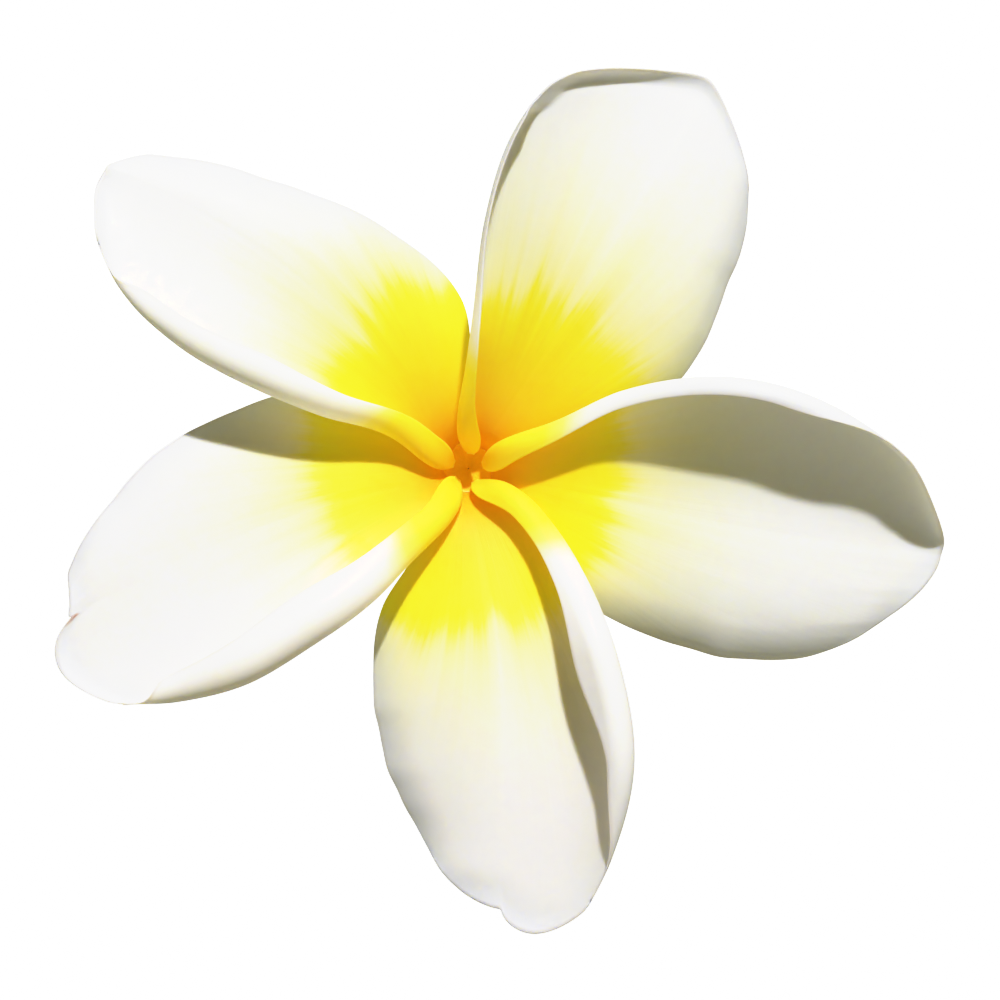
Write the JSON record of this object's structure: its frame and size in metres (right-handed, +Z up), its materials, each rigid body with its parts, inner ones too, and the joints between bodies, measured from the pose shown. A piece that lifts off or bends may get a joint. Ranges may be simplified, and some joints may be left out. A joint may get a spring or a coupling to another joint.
{
  "type": "plumeria flower",
  "caption": "Open plumeria blossom with overlapping rolled petals, a slender tube, a green calyx and a short cut stalk, lying on its petals.",
  "frame": {"origin": "the middle of the bounding box's bottom, on the surface that the flower lies on", "axes": "+Z up from the surface; the open flower faces up and towards -Y, its axis leaning 39.8 degrees from +Z; +X along its longest extent"},
  "size_m": [0.0787, 0.0578, 0.0459],
  "materials": {
    "petal": "satin waxy petal, white with a yellow throat",
    "green_stalk": "smooth matte green",
    "pistil": "matte pale green"
  },
  "bodies": {
    "root": {"corolla": "petal", "calyx_and_stalk": "green_stalk", "pistil": "pistil"}
  },
  "joints": []
}
